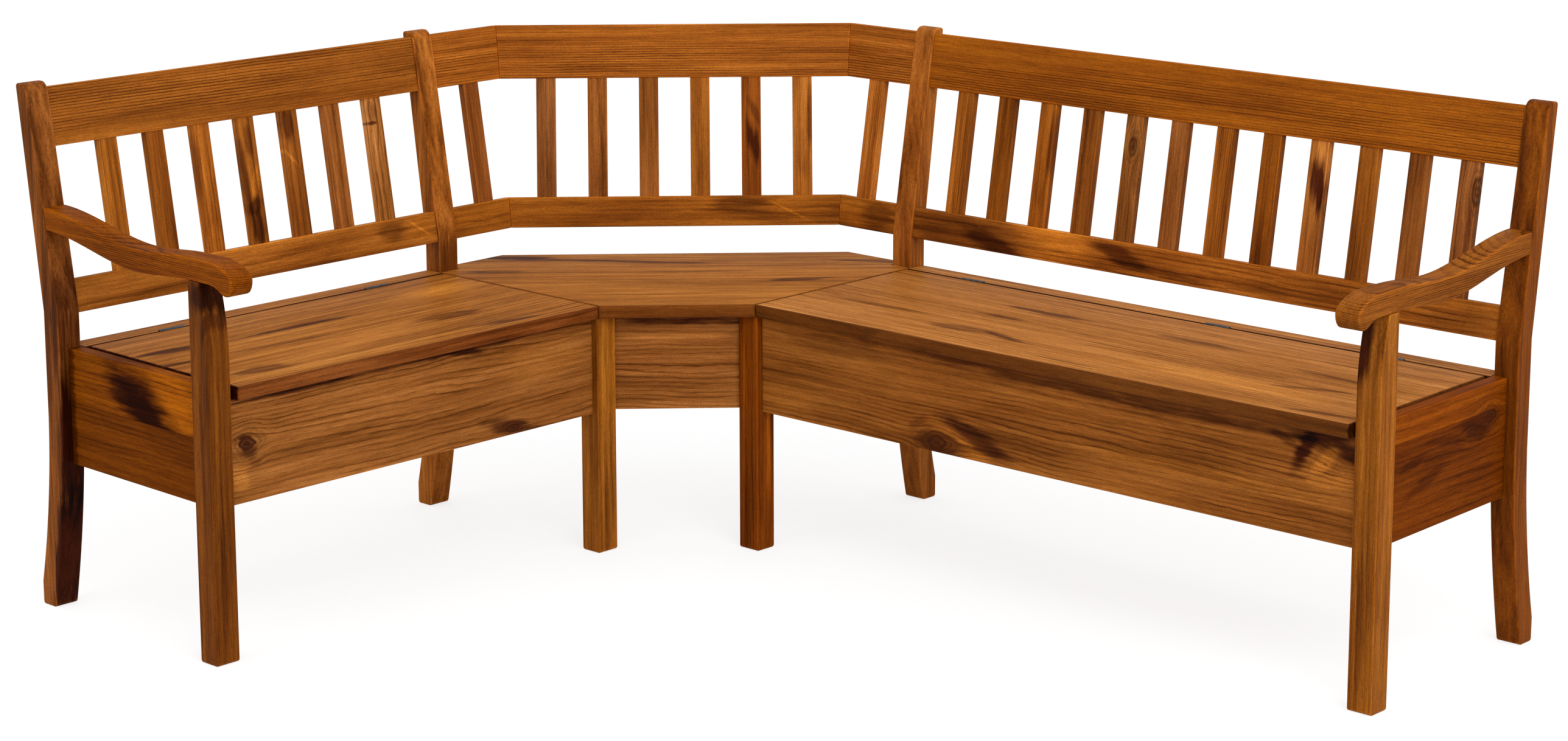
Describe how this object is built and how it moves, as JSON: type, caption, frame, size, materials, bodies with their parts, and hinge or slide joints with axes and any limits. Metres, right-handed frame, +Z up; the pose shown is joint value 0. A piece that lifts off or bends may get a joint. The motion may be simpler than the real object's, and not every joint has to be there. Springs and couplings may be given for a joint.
{
  "type": "corner storage bench",
  "caption": "L-shaped wooden corner bench with raked slatted backs, curved arms at both free ends and storage boxes under hinged seats.",
  "frame": {"origin": "centre of the bounding box on the floor", "axes": "+X along the long bench away from the corner, its back to +Y; the short bench runs towards -Y with its back to -X; +Z up"},
  "size_m": [1.9776, 1.5396, 0.886],
  "materials": {
    "frame_wood": "honey-brown stained softwood, satin",
    "panel_wood": "honey-brown stained softwood, satin",
    "seat_wood": "paler honey-brown softwood, satin",
    "inside_wood": "plain softwood, matt",
    "hinge_steel": "dull grey"
  },
  "bodies": {
    "frame": {"long_outer_front_leg": "frame_wood", "long_inner_front_leg": "frame_wood", "long_outer_back_post": "frame_wood", "long_inner_back_post": "frame_wood", "long_arm": "frame_wood", "long_front_panel": "panel_wood", "long_back_panel": "panel_wood", "long_inner_end_panel": "panel_wood", "long_outer_end_panel": "panel_wood", "long_front_batten": "inside_wood", "long_back_batten": "inside_wood", "long_box_bottom": "inside_wood", "long_seat_strip": "seat_wood", "long_top_rail": "frame_wood", "long_low_rail_with_slats": "frame_wood", "long_hinge_1_fixed_leaf": "hinge_steel", "long_hinge_2_fixed_leaf": "hinge_steel", "long_hinge_3_fixed_leaf": "hinge_steel", "short_outer_front_leg": "frame_wood", "short_inner_front_leg": "frame_wood", "short_outer_back_post": "frame_wood", "short_inner_back_post": "frame_wood", "short_arm": "frame_wood", "short_front_panel": "panel_wood", "short_back_panel": "panel_wood", "short_inner_end_panel": "panel_wood", "short_outer_end_panel": "panel_wood", "short_front_batten": "inside_wood", "short_back_batten": "inside_wood", "short_box_bottom": "inside_wood", "short_seat_strip": "seat_wood", "short_top_rail": "frame_wood", "short_low_rail_with_slats": "frame_wood", "short_hinge_1_fixed_leaf": "hinge_steel", "short_hinge_2_fixed_leaf": "hinge_steel", "corner_top_rail_slanted": "frame_wood", "corner_top_rail_long_side": "frame_wood", "corner_top_rail_short_side": "frame_wood", "corner_low_rail_slanted": "frame_wood", "corner_low_rail_long_side": "frame_wood", "corner_low_rail_short_side": "frame_wood", "corner_slat_1": "frame_wood", "corner_slat_2": "frame_wood", "corner_slat_3": "frame_wood", "corner_slat_4": "frame_wood", "corner_slat_5": "frame_wood", "corner_slat_6": "frame_wood", "corner_slat_long_side": "frame_wood", "corner_slat_short_side": "frame_wood", "corner_seat": "seat_wood", "corner_front_panel": "panel_wood", "corner_batten_long_side": "inside_wood", "corner_batten_short_side": "inside_wood"},
    "long_lid": {"long_lid": "seat_wood", "long_hinge_1_lid_leaf": "hinge_steel", "long_hinge_2_lid_leaf": "hinge_steel", "long_hinge_3_lid_leaf": "hinge_steel"},
    "short_lid": {"short_lid": "seat_wood", "short_hinge_1_lid_leaf": "hinge_steel", "short_hinge_2_lid_leaf": "hinge_steel"}
  },
  "joints": [
    {"name": "long_lid_hinge", "type": "hinge", "parent": "frame", "child": "long_lid", "pos_m": [0.323, 0.66978, 0.4505], "axis": [-1, 0, 0], "range_deg": [0, 99]},
    {"name": "short_lid_hinge", "type": "hinge", "parent": "frame", "child": "short_lid", "pos_m": [-0.88877, -0.323, 0.4505], "axis": [0, -1, 0], "range_deg": [0, 99]}
  ]
}
